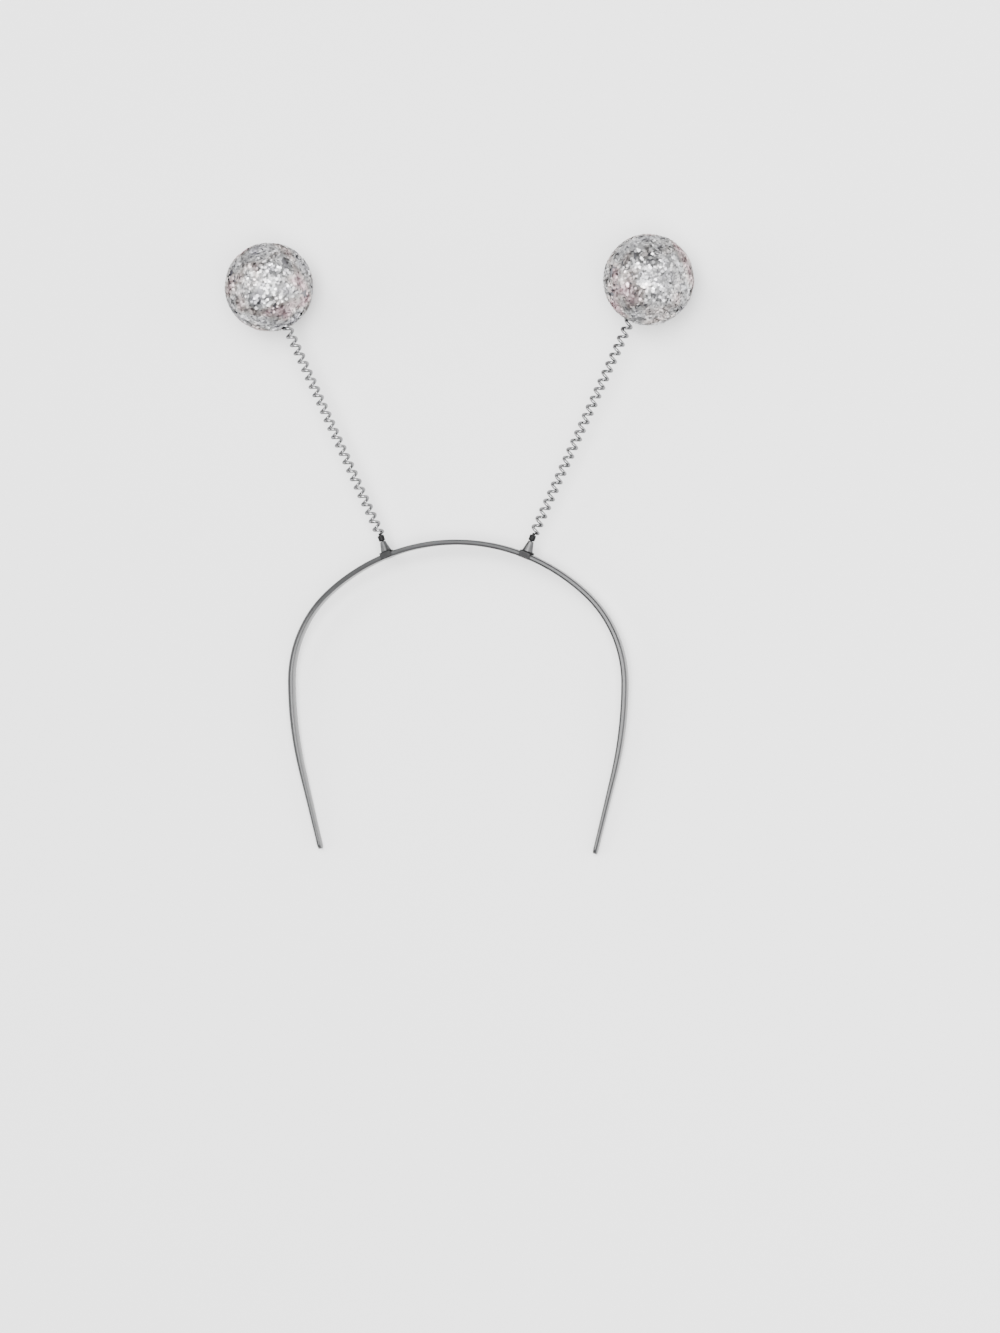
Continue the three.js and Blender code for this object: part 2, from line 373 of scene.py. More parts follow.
def show(mesh, name, material, smooth_below=40):
    """Puts a finished mesh in the scene as the piece that stands for the node of the same name."""
    mesh.name = f"{name}_piece"
    mesh.materials.clear()
    mesh.materials.append(material)
    mesh.shade_smooth()
    mesh.set_sharp_from_angle(angle=math.radians(smooth_below))
    piece = bpy.data.objects.new(f"{name}_piece", mesh)
    bpy.context.collection.objects.link(piece)
    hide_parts(name)
    mesh.calc_loop_triangles()
    print(f"{piece.name}: {len(mesh.loop_triangles)} triangles")
    return piece


print("helpers for meshes ready")

# %% [markdown]
# ## The band
#
# The real band is one thin moulding of dark grey plastic, flat inside and rounded outside, with a fine
# parting line along both edges where the mould closed. A curve with a bevel would have one section all the
# way, but this band tapers to its tips. Its middle line is a row of arcs from the crown to the tips, so the
# band is skinned through many rings that stand across that line.

# %% Middle line of the band
BAND_ARCS = ((CROWN_RADIUS, 42), (50, 48), (160, 14))
BAND_TIP_STRAIGHT = 34
BAND_WIDTH = 5
BAND_TIP_WIDTH = 4.2
BAND_TIP_THICKNESS = 1.6
BAND_TAPER_LENGTH = 60

band_half_length = sum(radius * math.radians(sweep) for radius, sweep in BAND_ARCS) + BAND_TIP_STRAIGHT
tip_round = BAND_TIP_WIDTH / 2
tip_round_start = band_half_length - tip_round


def band_station(distance):
    """Place on the middle line at a distance from the crown, and the turn from level there."""
    side = math.copysign(1, distance)
    left = abs(distance)
    turn, x, z = 0.0, 0.0, 0.0
    for radius, sweep in BAND_ARCS:
        swept = min(left / radius, math.radians(sweep))
        x += radius * (math.sin(turn + swept) - math.sin(turn))
        z += radius * (math.cos(turn + swept) - math.cos(turn))
        turn += swept
        left = max(0.0, left - swept * radius)
    return Vector((side * (x + left * math.cos(turn)), 0, z - left * math.sin(turn))), side * turn


def band_size(distance):
    """Width and thickness: full, then tapered, then rounded off at the tip."""
    reach = abs(distance)
    share = min(1.0, max(0.0, (reach - tip_round_start + BAND_TAPER_LENGTH) / BAND_TAPER_LENGTH))
    taper = share * share * (3 - 2 * share)
    ending = math.sqrt(max(0.0, 1 - (max(0.0, reach - tip_round_start) / tip_round) ** 2))
    width = (BAND_WIDTH + (BAND_TIP_WIDTH - BAND_WIDTH) * taper) * ending
    return width, BAND_THICKNESS + (BAND_TIP_THICKNESS - BAND_THICKNESS) * taper


print("length of the band along its middle line in millimetres:", round(2 * band_half_length, 1))

# %% Section of the band
BAND_OUTER_ROUND = 0.95
BAND_OUTER_STEPS = 8
BAND_INNER_ROUND = 0.35
BAND_INNER_STEPS = 4
PARTING_RISE = 0.05
PARTING_HALF_WIDTH = 0.09


def band_outline(width, thickness):
    """Points across and out from the middle line: flat inside, rounded outside, a parting line on both edges.

    Where the tip gets narrow, the roundings and the parting line shrink with the width."""
    outer = min(BAND_OUTER_ROUND, width / 3)
    inner = min(BAND_INNER_ROUND, width / 6)
    rise = min(PARTING_RISE, width / 20)
    side, top, foot = width / 2, thickness / 2, -thickness / 2
    parting = (foot + inner + top - outer) / 2
    ridge_foot = parting - PARTING_HALF_WIDTH
    ridge_top = parting + PARTING_HALF_WIDTH
    half = arc((side - inner, foot + inner), inner, -90, 0, BAND_INNER_STEPS)
    half += [(side, ridge_foot), (side + rise, parting), (side, ridge_top)]
    half += arc((side - outer, top - outer), outer, 0, 90, BAND_OUTER_STEPS)
    return half + [(-across, out) for across, out in reversed(half)]


print("points round the section:", len(band_outline(BAND_WIDTH, BAND_THICKNESS)))

# %% Skin the band
BAND_STEPS = 260
TIP_STEPS = 10
TIP_LAST_SHARE = 0.985

distances = [tip_round_start * (2 * i / BAND_STEPS - 1) for i in range(BAND_STEPS + 1)]
for i in range(1, TIP_STEPS + 1):
    reach = tip_round * math.sin(math.asin(TIP_LAST_SHARE) * i / TIP_STEPS)
    distances = [-tip_round_start - reach] + distances + [tip_round_start + reach]


def band_ring(distance):
    """The band's outline, put square across the middle line at a distance from the crown."""
    place, turn = band_station(distance)
    stand = Matrix.Translation(place) @ Matrix.Rotation(turn, 4, "Y")
    return [stand @ Vector((0, across, out)) for across, out in band_outline(*band_size(distance))]


band_mesh = skinned([band_ring(distance) for distance in distances])
band_mesh.transform(worn)
print("rings along the band:", len(distances))

# %% [markdown]
# The plastic is a dark neutral grey with a moulded gloss. It isn't quite even: broad clouds change how dark
# and how rough it is, as handling does, and a very fine ripple breaks up the edges of the highlights.

# %% Band plastic
BAND_GREYS = ((0.02, 0.0203, 0.021, 1), (0.034, 0.0345, 0.036, 1))
BAND_ROUGHNESS = (0.22, 0.4)

band_plastic, shader, draw = new_finish(
    "band_plastic", Metallic=0.0, Specular_IOR_Level=0.4, Coat_Weight=0.25, Coat_Roughness=0.08,
)
handling = noise(draw, per_metre=90, detail=4)
feed(shader, "Base Color", two_colours(draw, handling, *BAND_GREYS))
feed(shader, "Roughness", between(handling, *BAND_ROUGHNESS))
feed(shader, "Normal", bump(draw, noise(draw, per_metre=2200), depth=0.00002))
band = show(band_mesh, "headband", band_plastic)
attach(band, "band")

# %% [markdown]
# ## The clips
#
# Each clip is a strip of metal folded over the band and down both of its edges, with a tapered neck on its
# outside that holds the antenna. Its forms are plain, so they are joined and cut by Boolean modifiers. Sharp
# edges would look like a drawing, and a bevel is hard to run where round forms meet flat ones. A voxel
# remesh with a little smoothing rounds all the edges at once and leaves a soft fillet at the foot of the
# neck, as on a small soldered part.

# %% Forms of a clip
GAP = 0.3
CLIP_LENGTH = 4.8
CLIP_WALL = 0.4
CLIP_EDGE_ROUND = 0.5
NECK_FOOT_RADIUS = 2.3
NECK_TOP_RADIUS = 1.2
NECK_TOP = 6.3
NECK_SINK = 0.4
NECK_ROWS = 12
PEG_SHANK_RADIUS = 0.5
PEG_SHANK_LENGTH = 4.0
EDGE_STEPS = 6
ROUND_SIDES = 64

slot_width = BAND_WIDTH + 2 * GAP
slot_height = BAND_THICKNESS + 2 * GAP
saddle_width = slot_width + 2 * CLIP_WALL
saddle_height = slot_height + 2 * CLIP_WALL
saddle_top = saddle_height / 2


def block(width, height, length, rounding):
    """A bar along X with rounded corners."""
    x, y = width / 2 - rounding, height / 2 - rounding
    outline = []
    for across, out, first in ((x, y, 0), (-x, y, 90), (-x, -y, 180), (x, -y, 270)):
        outline += arc((across, out), rounding, first, first + 90, EDGE_STEPS)
    return skinned([[Vector((end, *point)) for point in outline] for end in (-length / 2, length / 2)])


def clip_forms():
    """The forms of a clip, in order, with what each does to those before it."""
    saddle = block(saddle_width, saddle_height, CLIP_LENGTH, CLIP_EDGE_ROUND)
    slot = block(slot_width, slot_height, 2 * CLIP_LENGTH, GAP)
    open_side = block(2 * saddle_width, saddle_height, 2 * CLIP_LENGTH, GAP)
    open_side.transform(Matrix.Translation((0, 0, -(BAND_THICKNESS + saddle_height) / 2)))
    flare = [i / NECK_ROWS for i in range(NECK_ROWS + 1)]
    neck_side = [
        (NECK_TOP_RADIUS + (NECK_FOOT_RADIUS - NECK_TOP_RADIUS) * (1 - share),
         saddle_top + (NECK_TOP - saddle_top) * share)
        for share in flare
    ]
    neck_foot = saddle_top - NECK_SINK
    neck = turned([(0, neck_foot), (NECK_FOOT_RADIUS, neck_foot), *neck_side, (0, NECK_TOP)], ROUND_SIDES)
    bore_radius = PEG_SHANK_RADIUS + GAP
    bore_foot = NECK_TOP - PEG_SHANK_LENGTH - GAP
    bore_top = 2 * NECK_TOP
    bore_profile = [(0, bore_foot), (bore_radius, bore_foot), (bore_radius, bore_top), (0, bore_top)]
    bore = turned(bore_profile, ROUND_SIDES)
    cuts = [(form, "DIFFERENCE") for form in (bore, slot, open_side)]
    return [(saddle, None), (neck, "UNION"), *cuts]


print("saddle in millimetres:", round(saddle_width, 2), "wide over a band of", BAND_WIDTH)

# %% Join, cut and round a clip
CLIP_VOXEL = 0.09
CLIP_SMOOTHING = 4
CLIP_SMOOTH_FACTOR = 0.5
FOLD_FADE = 0.5


def clip_mesh():
    """One closed mesh from the forms of a clip, with a value that is 1 on the fold and 0 on the neck, where
    the painted shade goes.
    """
    objects = []
    for form, work in clip_forms():
        objects.append(bpy.data.objects.new("clip_form", form))
        bpy.context.collection.objects.link(objects[-1])
        if work:
            cut = objects[0].modifiers.new(work, "BOOLEAN")
            cut.operation = work
            cut.solver = "EXACT"
            cut.object = objects[-1]
    remesh = objects[0].modifiers.new("remesh", "REMESH")
    remesh.mode = "VOXEL"
    remesh.voxel_size = CLIP_VOXEL
    smooth = objects[0].modifiers.new("smooth", "SMOOTH")
    smooth.factor = CLIP_SMOOTH_FACTOR
    smooth.iterations = CLIP_SMOOTHING
    evaluated = objects[0].evaluated_get(bpy.context.evaluated_depsgraph_get())
    mesh = bpy.data.meshes.new_from_object(evaluated)
    for obj in objects:
        bpy.data.objects.remove(obj)
    shares = [(saddle_top + FOLD_FADE - vertex.co.z) / FOLD_FADE for vertex in mesh.vertices]
    fold = mesh.attributes.new("fold", "FLOAT", "POINT")
    fold.data.foreach_set("value", [min(1.0, max(0.0, share)) for share in shares])
    return mesh


clip_meshes = {}
for label, matrix in clip_frames.items():
    clip_meshes[label] = clip_mesh()
    clip_meshes[label].transform(matrix)
print("faces of a clip:", len(clip_meshes["left"].polygons))

# %% [markdown]
# The clip's metal is duller than the springs: a satin grey with small scratches and slightly darker patches.
# The fold on the band is painted near black, so the value that each mesh carries mixes the bare metal with
# the black.
# That black is partly a dark finish on the fold and partly painted shade, for the shadow under the foot of
# the neck.

# %% Clip metal
BARE_GREYS = ((0.065, 0.065, 0.066, 1), (0.13, 0.13, 0.1325, 1))
FOLD_SHADE_BLACKS = ((0.02, 0.02, 0.0205, 1), (0.042, 0.042, 0.043, 1))
CLIP_ROUGHNESS = (0.34, 0.54)

clip_metal, shader, draw = new_finish("clip_metal", Metallic=1.0, Specular_Tint=(0.4, 0.4, 0.4, 1))
wear = noise(draw, per_metre=700, detail=5, roughness=0.65)
fold = draw.node("ShaderNodeAttribute", {"attribute_name": "fold"}, output="Fac")
bare = two_colours(draw, wear, *BARE_GREYS)
# The fold's near black is partly painted shade, for the shadow under the foot of the neck.
fold_shade_colour = two_colours(draw, wear, *FOLD_SHADE_BLACKS)
feed(shader, "Base Color", two_colours(draw, fold, bare, fold_shade_colour))
feed(shader, "Roughness", between(wear, *CLIP_ROUGHNESS))
feed(shader, "Normal", bump(draw, noise(draw, per_metre=6000), depth=0.000012))
for label, mesh in clip_meshes.items():
    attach(show(mesh, f"clip_{label}", clip_metal, smooth_below=80), "band")

# %% [markdown]
# ## The pegs
#
# A black plug sits in each neck. Its shoulder is the black dot under the spring, and its stub holds the first
# turn. It is round all along, so it is a profile turned about the antenna, with rounded edges on the shoulder
# and the stub.

# %% Profile of a peg
PEG_SHOULDER_RADIUS = 1.4
PEG_SHOULDER_HEIGHT = 2.5
PEG_ROUND = 0.35
PEG_STUB_RADIUS = 0.7
PEG_STUB_LENGTH = 1.0

shank_foot = NECK_TOP - PEG_SHANK_LENGTH
shoulder_foot = NECK_TOP + GAP
shoulder_top = shoulder_foot + PEG_SHOULDER_HEIGHT
shoulder_side = PEG_SHOULDER_RADIUS - PEG_ROUND
stub_top = shoulder_top + PEG_STUB_LENGTH
peg_profile = [(0, shank_foot), (PEG_SHANK_RADIUS, shank_foot), (PEG_SHANK_RADIUS, shoulder_foot)]
peg_profile += arc((shoulder_side, shoulder_foot + PEG_ROUND), PEG_ROUND, -90, 0, EDGE_STEPS)
peg_profile += arc((shoulder_side, shoulder_top - PEG_ROUND), PEG_ROUND, 0, 90, EDGE_STEPS)
peg_profile += [(PEG_STUB_RADIUS, shoulder_top)]
peg_profile += arc((PEG_STUB_RADIUS - PEG_ROUND, stub_top - PEG_ROUND), PEG_ROUND, 0, 90, EDGE_STEPS)
peg_profile += [(0, stub_top)]
print("rows of a peg:", len(peg_profile))

# %% [markdown]
# The peg is black plastic with a low sheen. Its scuffs are a shade paler, and they are rougher.

# %% Peg plastic and the two pegs
PEG_BLACKS = ((0.004, 0.004, 0.0044, 1), (0.009, 0.009, 0.0095, 1))
PEG_ROUGHNESS = (0.35, 0.55)

peg_plastic, shader, draw = new_finish("peg_plastic", Metallic=0.0, Specular_IOR_Level=0.12)
scuffs = noise(draw, per_metre=1500, detail=3)
feed(shader, "Base Color", two_colours(draw, scuffs, *PEG_BLACKS))
feed(shader, "Roughness", between(scuffs, *PEG_ROUGHNESS))
feed(shader, "Normal", bump(draw, noise(draw, per_metre=5000), depth=0.00001))
for label, matrix in clip_frames.items():
    mesh = turned(peg_profile, ROUND_SIDES)
    mesh.transform(matrix)
    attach(show(mesh, f"peg_{label}", peg_plastic), "band")

# %% [markdown]
# ## Trees of Geometry Nodes
#
# The springs and the glitter follow rules, and Geometry Nodes make shapes from rules. One helper starts a
# tree with named inputs, one ends it with plain geometry in one material, and one runs it on a mesh. A
# modifier knows an input by an identifier, not by its name, so the last one looks that up.


# %% Helpers for Geometry Nodes
def new_tree(name, sockets):
    """A Geometry Nodes tree with a geometry in and out, and inputs listed by their kind.

    Returns the tree, and its inputs as fields."""
    tree = bpy.data.node_groups.new(name, "GeometryNodeTree")
    tree.interface.new_socket("Geometry", in_out="INPUT", socket_type="NodeSocketGeometry")
    tree.interface.new_socket("Geometry", in_out="OUTPUT", socket_type="NodeSocketGeometry")
    for kind, names in sockets.items():
        for socket in names:
            tree.interface.new_socket(socket, in_out="INPUT", socket_type=f"NodeSocket{kind}")
    entry = tree.nodes.new("NodeGroupInput")
    return tree, {socket.name: Field(tree, socket) for socket in entry.outputs if socket.name}


def end_tree(draw, geometry, material):
    """Ends a tree with plain geometry in one material."""
    plain = draw.node("GeometryNodeRealizeInstances", inputs={"Geometry": geometry})
    painted = draw.node("GeometryNodeSetMaterial", inputs={"Geometry": plain, "Material": material})
    result = draw.tree.nodes.new("NodeGroupOutput")
    draw.tree.links.new(painted.socket, result.inputs["Geometry"])


def run_tree(tree, mesh, values):
    """Runs a tree on a mesh with values for its named inputs, and returns a plain mesh."""
    carrier = bpy.data.objects.new("carrier", mesh)
    bpy.context.collection.objects.link(carrier)
    modifier = carrier.modifiers.new(tree.name, "NODES")
    modifier.node_group = tree
    for socket in tree.interface.items_tree:
        if socket.in_out == "INPUT" and socket.name in values:
            modifier[socket.identifier] = values[socket.name]
    evaluated = carrier.evaluated_get(bpy.context.evaluated_depsgraph_get())
    result = bpy.data.meshes.new_from_object(evaluated)
    bpy.data.objects.remove(carrier)
    return result


print("helpers for Geometry Nodes ready")

# %% [markdown]
# ## The springs
#
# A spring is a wire that goes round at a fixed radius while it climbs by one pitch for each turn. It starts
# behind the peg with a quarter turn of closer pitch. A Screw modifier has one pitch only, so Geometry Nodes
# make it: a line is resampled, each of its points is moved onto the helix by the maths of the rule, and a
# circle is swept along it. The helix is left-handed, as the slope of the wires in front shows.

# %% Geometry Nodes: a coil spring
spring_tree, inlet = new_tree("coil_spring", {
    "Float": (
        "Foot", "Top", "Coil radius", "Wire radius", "Start turn", "Close turns", "Close pitch", "Open pitch",
        "Steps per turn",
    ),
    "Int": ("Wire sides",),
    "Material": ("Material",),
})
draw = inlet["Foot"]
open_height = inlet["Top"] - inlet["Foot"] - inlet["Close turns"] * inlet["Close pitch"]
all_turns = inlet["Close turns"] + open_height / inlet["Open pitch"]
points = draw.node("GeometryNodeResampleCurve", {"mode": "COUNT"}, {
    "Curve": draw.node("GeometryNodeCurvePrimitiveLine"), "Count": all_turns * inlet["Steps per turn"],
})
turns = draw.node("GeometryNodeSplineParameter", output="Factor") * all_turns
close_part = draw.math("MINIMUM", turns, inlet["Close turns"]) * inlet["Close pitch"]
open_part = draw.math("MAXIMUM", turns - inlet["Close turns"], 0.0) * inlet["Open pitch"]
angle = (inlet["Start turn"] - turns) * math.tau
place = draw.node("ShaderNodeCombineXYZ", inputs={
    "X": inlet["Coil radius"] * draw.math("COSINE", angle),
    "Y": inlet["Coil radius"] * draw.math("SINE", angle),
    "Z": inlet["Foot"] + close_part + open_part,
})
helix = draw.node("GeometryNodeSetPosition", inputs={"Geometry": points, "Position": place})
section = draw.node("GeometryNodeCurvePrimitiveCircle", inputs={
    "Resolution": inlet["Wire sides"], "Radius": inlet["Wire radius"],
})
wire = draw.node("GeometryNodeCurveToMesh", inputs={
    "Curve": helix, "Profile Curve": section, "Fill Caps": True,
})
end_tree(draw, wire, inlet["Material"])
print("coil spring tree:", len(spring_tree.nodes), "nodes")

# %% [markdown]
# Drawn steel wire is nearly a mirror, with a little haze and small darker marks. It shows light where it
# faces the lamps and dark where it turns away. Its grey is darker than clean steel, because a bright wire
# would fade into the pale floor.

# %% Spring steel
WIRE_GREYS = ((0.22, 0.22, 0.223, 1), (0.31, 0.31, 0.314, 1))
WIRE_ROUGHNESS = (0.16, 0.3)

spring_steel, shader, draw = new_finish("spring_steel", Metallic=1.0, Specular_Tint=(0.0, 0.0, 0.0, 1))
haze = noise(draw, per_metre=350)
feed(shader, "Base Color", two_colours(draw, haze, *WIRE_GREYS))
feed(shader, "Roughness", between(haze, *WIRE_ROUGHNESS))
print("spring steel:", len(spring_steel.node_tree.nodes), "nodes")

# %% [markdown]
# Each spring is made in its spring frame and put in place. Where its bend would start and end is worked out,
# but nothing uses it, and the spring is not tied to a body.

# %% The two springs
COIL_RADIUS = 1.6
WIRE_RADIUS = 0.65
START_TURN = 0.25
CLOSE_TURNS = 0.25
CLOSE_PITCH = 2.0
OPEN_PITCH = 3.95
STEPS_PER_TURN = 28.0
WIRE_SIDES = 12
BALL_RADIUS = 19
SOCKET_DEPTH = 8

ball_foot = BALL_CENTRE - BALL_RADIUS
spring_foot = GAP + WIRE_RADIUS
spring_top = ball_foot + SOCKET_DEPTH - GAP - WIRE_RADIUS
spring_values = {
    "Foot": spring_foot, "Top": spring_top, "Coil radius": COIL_RADIUS, "Wire radius": WIRE_RADIUS,
    "Start turn": START_TURN, "Close turns": CLOSE_TURNS, "Close pitch": CLOSE_PITCH,
    "Open pitch": OPEN_PITCH, "Steps per turn": STEPS_PER_TURN, "Wire sides": WIRE_SIDES,
    "Material": spring_steel,
}
for label, matrix in spring_frames.items():
    mesh = run_tree(spring_tree, bpy.data.meshes.new("start"), spring_values)
    mesh.transform(matrix)
    spring = show(mesh, f"spring_{label}", spring_steel, smooth_below=60)
    bend_start = matrix @ Vector((0, 0, spring_foot))
    bend_end = matrix @ Vector((0, 0, ball_foot))
    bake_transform(spring)

# %% [markdown]
# ## The glitter balls
#
# A foam ball is dipped in glue and rolled in silver glitter, so it is covered all over with small six-sided
# flakes that lie nearly flat, overlap, and each catch the light their own way. Bump in a material can't
# throw separate glints, so Geometry Nodes scatter real flakes over the ball. First the foam gets soft lumps,
# because the flakes on one side of a lump flash together. Then points are spread over it with a least
# distance between them.

# %% Geometry Nodes: inputs and helpers of the glitter coat
SEED_STEP = 3.7

glitter_tree, inlet = new_tree("glitter_coat", {
    "Vector": ("Ball centre",),
    "Float": (
        "Ball radius", "Lumps per mm", "Lump height", "Flake spacing", "Flake size", "Least scale",
        "Most scale", "Flake thickness", "Tilt", "Rise", "Clumps per mm", "Patches per mm",
    ),
    "Int": ("Seed",),
    "Material": ("Material",),
})
draw = inlet["Tilt"]


def vector_math(operation, inputs, output="Vector"):
    return draw.node("ShaderNodeVectorMath", {"operation": operation}, inputs, output)


def seeded_noise(per_mm, shift):
    """Noise from 0 to 1 over the ball, with a pattern of its own for each seed and shift."""
    inputs = {"W": inlet["Seed"] * SEED_STEP + shift, "Scale": per_mm, "Detail": 1.0}
    return draw.node("ShaderNodeTexNoise", {"noise_dimensions": "4D"}, inputs)


def random_number(shift, least=0.0, most=1.0):
    """A random number for each flake, with a draw of its own for each seed and shift."""
    inputs = {2: least, 3: most, "Seed": inlet["Seed"] + shift}
    return draw.node("FunctionNodeRandomValue", {"data_type": "FLOAT"}, inputs, output=1)


print("inputs of the glitter coat:", ", ".join(inlet))

# %% Geometry Nodes: a lumpy ball with points all over it
OUTSIDE_SHARE = 0.98
LUMP_LEVEL = 0.75
LUMP_SHIFT = 0.0
MOST_FLAKES_PER_SQUARE_MM = 8.0

place = draw.node("GeometryNodeInputPosition")
from_centre = vector_math("SUBTRACT", {0: place, 1: inlet["Ball centre"]})
reach = vector_math("LENGTH", {0: from_centre}, "Value")
outside = draw.math("GREATER_THAN", reach, inlet["Ball radius"] * OUTSIDE_SHARE)
sink = (seeded_noise(inlet["Lumps per mm"], LUMP_SHIFT) - LUMP_LEVEL) * inlet["Lump height"]
lump = vector_math("SCALE", {0: draw.node("GeometryNodeInputNormal"), "Scale": sink})
lumpy = draw.node("GeometryNodeSetPosition", inputs={
    "Geometry": inlet["Geometry"], "Selection": outside, "Offset": lump,
})
scatter = draw.node("GeometryNodeDistributePointsOnFaces", {"distribute_method": "POISSON"}, {
    "Mesh": lumpy, "Selection": outside, "Distance Min": inlet["Flake spacing"],
    "Density Max": MOST_FLAKES_PER_SQUARE_MM, "Seed": inlet["Seed"],
})
outward = Field(draw.tree, scatter.socket.node.outputs["Normal"])
facing = Field(draw.tree, scatter.socket.node.outputs["Rotation"])
print("glitter coat tree so far:", len(glitter_tree.nodes), "nodes")

# %% [markdown]
# Each point carries one flake: a thin hexagon, raised a little, tilted a little, spun and scaled at random.
# It keeps two numbers for the finish. Its tint is partly its own and partly that of the clump around it, and
# its patch value is shared over a wider area.

# %% Geometry Nodes: a flake on every point
RISE_DRAW = 1
TURN_DRAW = 2
SCALE_DRAW = 3
LEAST_RISE = 0.5
FLAKE_CORNERS = 6

rise = random_number(RISE_DRAW, LEAST_RISE) * inlet["Rise"]
raised = draw.node("GeometryNodeSetPosition", inputs={
    "Geometry": scatter, "Offset": vector_math("SCALE", {0: outward, "Scale": rise}),
})
most = draw.node("ShaderNodeCombineXYZ", inputs={"X": inlet["Tilt"], "Y": inlet["Tilt"], "Z": math.pi})
random_turn = draw.node("FunctionNodeRandomValue", {"data_type": "FLOAT_VECTOR"}, {
    0: vector_math("SCALE", {0: most, "Scale": -1.0}), 1: most, "Seed": inlet["Seed"] + TURN_DRAW,
})
turned_by = draw.node("FunctionNodeEulerToRotation", inputs={"Euler": random_turn})
pose = draw.node("FunctionNodeRotateRotation", {"rotation_space": "LOCAL"}, {
    "Rotation": facing, "Rotate By": turned_by,
})
flake = draw.node("GeometryNodeMeshCylinder", inputs={
    "Vertices": FLAKE_CORNERS, "Radius": inlet["Flake size"] / 2, "Depth": inlet["Flake thickness"],
})


def keep(geometry, domain, kind, name, value):
    """Stores a value on the geometry under a name."""
    inputs = {"Geometry": geometry, "Name": name, "Value": value}
    return draw.node("GeometryNodeStoreNamedAttribute", {"data_type": kind, "domain": domain}, inputs)


in_flake = vector_math("SCALE", {0: place, "Scale": 2.0 / inlet["Flake size"]})
flakes = draw.node("GeometryNodeInstanceOnPoints", inputs={
    "Points": raised,
    "Instance": keep(flake, "POINT", "FLOAT_VECTOR", "corner", in_flake),
    "Rotation": pose,
    "Scale": random_number(SCALE_DRAW, inlet["Least scale"], inlet["Most scale"]),
})
print("glitter coat tree so far:", len(glitter_tree.nodes), "nodes")

# %% Geometry Nodes: tint and patch value of a flake
TINT_DRAW = 4
OWN_TINT_SHARE = 0.35
TINT_GAIN = 1.25
CLUMP_SHIFT = 90.0
CLUMP_GAIN = 3.0
PATCH_SHIFT = 50.0
PATCH_GAIN = 2.6


def spread(value, gain):
    """Stretches a value about one half and keeps it from 0 to 1."""
    return draw.node("ShaderNodeClamp", inputs={"Value": (value - 0.5) * gain + 0.5})


clump = spread(seeded_noise(inlet["Clumps per mm"], CLUMP_SHIFT), CLUMP_GAIN)
tint = spread(OWN_TINT_SHARE * random_number(TINT_DRAW) + (1 - OWN_TINT_SHARE) * clump, TINT_GAIN)
patch = spread(seeded_noise(inlet["Patches per mm"], PATCH_SHIFT), PATCH_GAIN)
flakes = keep(flakes, "INSTANCE", "FLOAT", "flake_tint", tint)
flakes = keep(flakes, "INSTANCE", "FLOAT", "flake_patch", patch)
print("glitter coat tree so far:", len(glitter_tree.nodes), "nodes")

# %% [markdown]
# The finish of a flake depends on those two numbers alone. So they also serve as the flake's place on the UV
# map: flakes that look the same share one spot of it, and a picture that is baked through the map stays
# sharp however small it is.

# %% Geometry Nodes: a map by tint and patch value
MAP_SIZE = 0.9
MAP_MARGIN = 0.05
SPOT_RADIUS = 0.01

in_core = vector_math("SCALE", {0: from_centre, "Scale": 1.0 / inlet["Ball radius"]})
core = keep(lumpy, "POINT", "FLOAT_VECTOR", "corner", in_core)
joined = draw.node("GeometryNodeJoinGeometry")
for part in (flakes, core):
    draw.tree.links.new(part.socket, joined.socket.node.inputs["Geometry"])
plain = draw.node("GeometryNodeRealizeInstances", inputs={"Geometry": joined})


def kept(name, kind):
    """Reads a value that the geometry carries under a name."""
    return draw.node("GeometryNodeInputNamedAttribute", {"data_type": kind}, {"Name": name})


spot = draw.node("ShaderNodeCombineXYZ", inputs={
    "X": kept("flake_tint", "FLOAT") * MAP_SIZE + MAP_MARGIN,
    "Y": kept("flake_patch", "FLOAT") * MAP_SIZE + MAP_MARGIN,
})
around = vector_math("SCALE", {0: kept("corner", "FLOAT_VECTOR"), "Scale": SPOT_RADIUS})
mapped = keep(plain, "CORNER", "FLOAT2", "OFBake", vector_math("ADD", {0: spot, 1: around}))
coat = draw.node("GeometryNodeRemoveAttribute", inputs={"Geometry": mapped, "Name": "corner"})
end_tree(draw, coat, inlet["Material"])
print("glitter coat tree:", len(glitter_tree.nodes), "nodes")

# %% [markdown]
# The flakes are metal film. Most are a neutral silver from mid grey to pale. The patch value paints whole
# areas of the ball with a faint pink or lilac cast, which is a painted reflection of warm surroundings. The
# fraction of a multiple of the tint serves as another random number: it makes some flakes sharper mirrors
# than others.

# %% Glitter
SILVERS = (
    (0.0, (0.207, 0.206, 0.207)),
    (0.3, (0.373, 0.373, 0.375)),
    (0.6, (0.54, 0.54, 0.542)),
    (0.85, (0.695, 0.695, 0.695)),
    (1.0, (0.89, 0.89, 0.89)),
)
PAINTED_REFLECTION_CASTS = (
    (0.0, (0.95, 0.94, 1.0)),
    (0.25, (0.99, 0.985, 1.0)),
    (0.45, (1.0, 0.99, 0.985)),
    (0.65, (1.0, 0.91, 0.875)),
    (0.82, (1.0, 0.82, 0.83)),
    (1.0, (1.0, 0.74, 0.78)),
)
TINT_MULTIPLE = 7.3
FLAKE_ROUGHNESS = (0.3, 0.5)

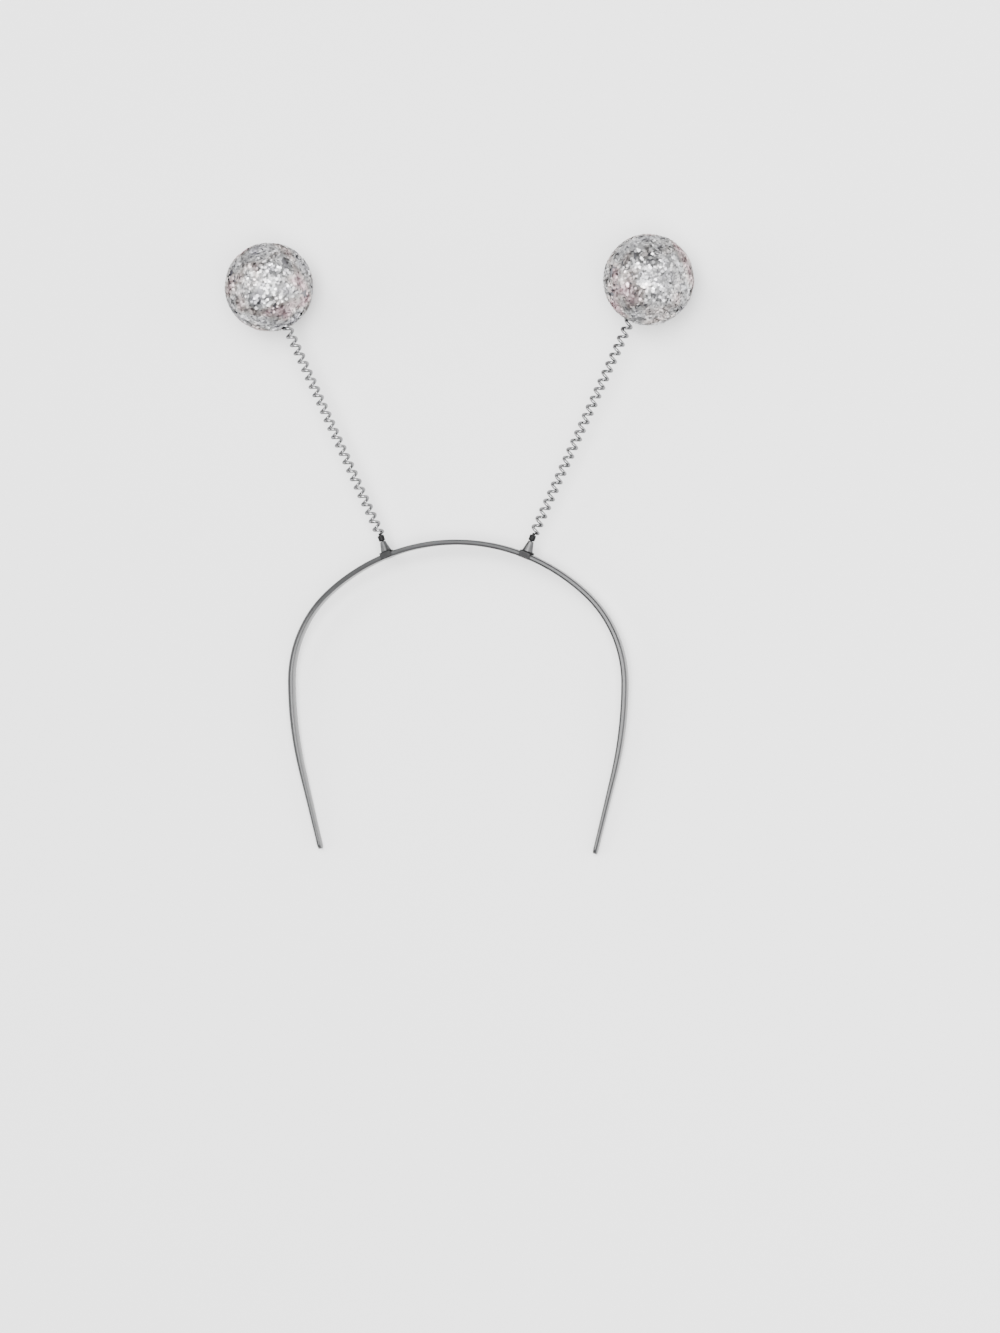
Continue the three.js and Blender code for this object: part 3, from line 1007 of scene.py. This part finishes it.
glitter, shader, draw = new_finish("glitter", Metallic=1.0, Specular_Tint=(0.0, 0.0, 0.0, 1))
tint = draw.node("ShaderNodeAttribute", {"attribute_name": "flake_tint"}, output="Fac")
area = draw.node("ShaderNodeAttribute", {"attribute_name": "flake_patch"}, output="Fac")
silver = draw.node("ShaderNodeValToRGB", {"stops": SILVERS}, {"Fac": tint}, output="Color")
# The pink and lilac casts are a painted reflection of warm surroundings, spread over the ball by the patch
# value.
reflection_cast = draw.node("ShaderNodeValToRGB", {"stops": PAINTED_REFLECTION_CASTS}, {"Fac": area}, output="Color")
tinted = draw.node("ShaderNodeMix", {"data_type": "RGBA", "blend_type": "MULTIPLY"}, {
    0: 1.0, 6: silver, 7: reflection_cast,
}, output=2)
feed(shader, "Base Color", tinted)
feed(shader, "Roughness", between(draw.math("FRACT", tint * TINT_MULTIPLE), *FLAKE_ROUGHNESS))
print("glitter:", len(glitter.node_tree.nodes), "nodes")

# %% [markdown]
# The core of a ball is a turned profile with the spring's socket in its foot. It is a little smaller than the
# solid, so that the raised flakes end at the solid's surface. Each ball has a seed of its own.

# %% The two balls
CORE_SIDES = 96
CORE_ROWS = 60
SOCKET_RADIUS = COIL_RADIUS + WIRE_RADIUS + GAP
FLAKE_SIZE = 1.5
FLAKE_SPACING = 0.82
FLAKE_RISE = 0.22
FLAKE_THICKNESS = 0.06
FLAKE_TILT = math.radians(20)
LEAST_SCALE = 0.7
MOST_SCALE = 1.15
LUMPS_PER_MM = 0.2
LUMP_HEIGHT = 0.9
CLUMPS_PER_MM = 0.3
PATCHES_PER_MM = 0.09
BALL_SEEDS = {"left": 236, "right": 1117}

core_radius = BALL_RADIUS - FLAKE_RISE
mouth = math.degrees(math.asin(SOCKET_RADIUS / core_radius))
socket_top = ball_foot + SOCKET_DEPTH
core_profile = [(0, socket_top), (SOCKET_RADIUS, socket_top)]
core_profile += arc((0, BALL_CENTRE), core_radius, mouth - 90, 90, CORE_ROWS)[:-1]
core_profile += [(0, BALL_CENTRE + core_radius)]
coat_values = {
    "Ball centre": (0.0, 0.0, BALL_CENTRE), "Ball radius": core_radius, "Lumps per mm": LUMPS_PER_MM,
    "Lump height": LUMP_HEIGHT, "Flake spacing": FLAKE_SPACING, "Flake size": FLAKE_SIZE,
    "Least scale": LEAST_SCALE, "Most scale": MOST_SCALE, "Flake thickness": FLAKE_THICKNESS,
    "Tilt": FLAKE_TILT, "Rise": FLAKE_RISE, "Clumps per mm": CLUMPS_PER_MM, "Patches per mm": PATCHES_PER_MM,
    "Material": glitter,
}
for label, matrix in spring_frames.items():
    coat_values["Seed"] = BALL_SEEDS[label]
    mesh = run_tree(glitter_tree, turned(core_profile, CORE_SIDES), coat_values)
    mesh.transform(matrix)
    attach(show(mesh, f"ball_{label}", glitter, smooth_below=25), f"antenna_{label}")
